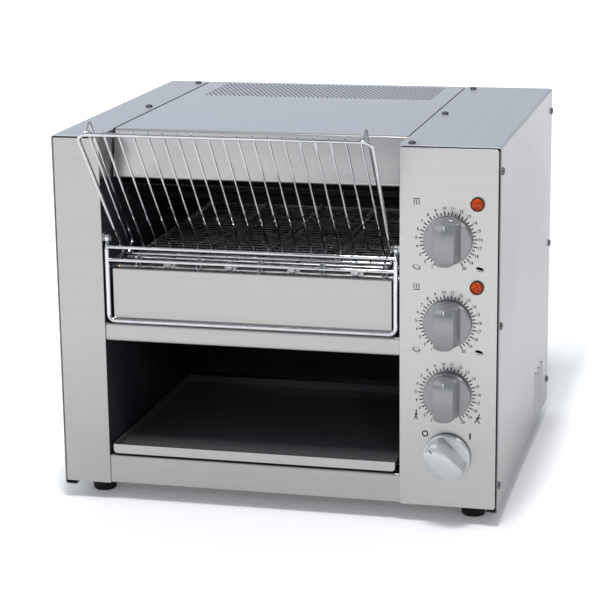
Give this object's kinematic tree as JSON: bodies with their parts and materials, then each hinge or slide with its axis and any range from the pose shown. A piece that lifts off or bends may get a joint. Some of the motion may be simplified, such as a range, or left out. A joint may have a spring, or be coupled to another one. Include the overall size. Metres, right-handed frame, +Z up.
{
  "type": "conveyor bun toaster",
  "caption": "Countertop conveyor bun toaster: stainless casing, wire belt between heaters, leaning wire loading rack, pull-out toast tray and a side panel of dials",
  "frame": {"origin": "on the floor, under the middle of the overall box that takes in the loading rack at rest and the cable gland at the back", "axes": "+X to the right seen from the front, +Y to the back, +Z up"},
  "size_m": [0.4796, 0.5294, 0.4294],
  "materials": {
    "stainless": "brushed, satin",
    "chamber_steel": "heat-darkened, dull",
    "plated_steel": "zinc plated",
    "belt_steel": "heat-toned wire",
    "bright_wire": "bright drawn wire",
    "screw_steel": "plain pan heads",
    "heater_sheath": "oxidised sheath",
    "insulator": "unglazed",
    "bush_bronze": "plain bearing metal",
    "motor_case": "satin paint",
    "black_rubber": "moulded, dull",
    "black_plastic": "moulded",
    "spindle_steel": "turned",
    "knob_grey": "satin gloss",
    "switch_silver": "satin gloss",
    "lamp_red": "clear moulded lens"
  },
  "bodies": {
    "casing": {"left_cover": "stainless", "right_cover": "stainless", "left_front_panel": "stainless", "fascia": "stainless", "top_cover": "stainless", "bottom_rail": "stainless", "mid_rail": "stainless", "front_panel": "stainless", "back_panel": "stainless", "inner_left_wall": "chamber_steel", "inner_right_wall": "chamber_steel", "top_reflector": "chamber_steel", "crumb_plate": "chamber_steel", "return_chute": "chamber_steel", "tray_runners": "chamber_steel", "base_pan": "plated_steel", "control_panel": "plated_steel", "motor_bracket": "plated_steel", "runner_rods": "plated_steel", "belt_runners": "plated_steel", "pivot_washers": "plated_steel", "conveyor_belt": "belt_steel", "cover_screws": "screw_steel", "pivot_screws": "screw_steel", "foot_screws": "screw_steel", "upper_elements": "heater_sheath", "lower_elements": "heater_sheath", "element_insulators": "insulator", "shaft_bushes": "bush_bronze", "gear_motor": "motor_case", "feet": "black_rubber", "cable_gland": "black_plastic", "upper_heat_regulator": "black_plastic", "lower_heat_regulator": "black_plastic", "speed_control": "black_plastic", "main_switch": "black_plastic", "terminal_block": "black_plastic", "lamp_bodies": "black_plastic", "lamp_lenses": "lamp_red"},
    "loading_rack": {"support_loop": "bright_wire", "loop_cross_bars": "bright_wire", "rack_frame": "bright_wire", "rack_wires": "bright_wire", "rack_bars": "bright_wire", "side_guards": "bright_wire"},
    "toast_tray_body": {"toast_tray": "stainless"},
    "drive_roll": {"drive_shaft": "belt_steel", "drive_wheels": "belt_steel", "shaft_coupling": "belt_steel", "output_shaft": "belt_steel"},
    "idler_roll": {"idler_shaft": "belt_steel", "idler_wheels": "belt_steel"},
    "upper_heat_dial": {"upper_heat_knob": "knob_grey", "upper_heat_spindle": "spindle_steel"},
    "lower_heat_dial": {"lower_heat_knob": "knob_grey", "lower_heat_spindle": "spindle_steel"},
    "speed_dial": {"speed_knob": "knob_grey", "speed_spindle": "spindle_steel"},
    "power_switch": {"switch_knob": "switch_silver", "switch_spindle": "spindle_steel"}
  },
  "joints": [
    {"name": "rack_lift", "type": "hinge", "parent": "casing", "child": "loading_rack", "pos_m": [-0.02575, -0.16679, 0.292], "axis": [-1, 0, 0], "range_deg": [0, 38]},
    {"name": "tray_pull", "type": "slide", "parent": "casing", "child": "toast_tray_body", "axis": [0, -1, 0], "range_m": [0, 0.25]},
    {"name": "drive_turn", "type": "hinge", "parent": "casing", "child": "drive_roll", "pos_m": [-0.02575, 0.16306, 0.246], "axis": [-1, 0, 0], "continuous": true},
    {"name": "idler_turn", "type": "hinge", "parent": "casing", "child": "idler_roll", "pos_m": [-0.02575, -0.11129, 0.246], "axis": [-1, 0, 0], "continuous": true},
    {"name": "upper_heat_turn", "type": "hinge", "parent": "casing", "child": "upper_heat_dial", "pos_m": [0.1843, -0.17329, 0.305], "axis": [0, 1, 0], "range_deg": [-150, 150]},
    {"name": "lower_heat_turn", "type": "hinge", "parent": "casing", "child": "lower_heat_dial", "pos_m": [0.1843, -0.17329, 0.218], "axis": [0, 1, 0], "range_deg": [-150, 150]},
    {"name": "speed_turn", "type": "hinge", "parent": "casing", "child": "speed_dial", "pos_m": [0.1843, -0.17329, 0.142], "axis": [0, 1, 0], "range_deg": [-150, 150]},
    {"name": "power_turn", "type": "hinge", "parent": "casing", "child": "power_switch", "pos_m": [0.1843, -0.17329, 0.0755], "axis": [0, 1, 0], "range_deg": [0, 90]}
  ],
  "couplings": [
    {"joint": "idler_turn", "follows": "drive_turn", "ratio": 1}
  ]
}
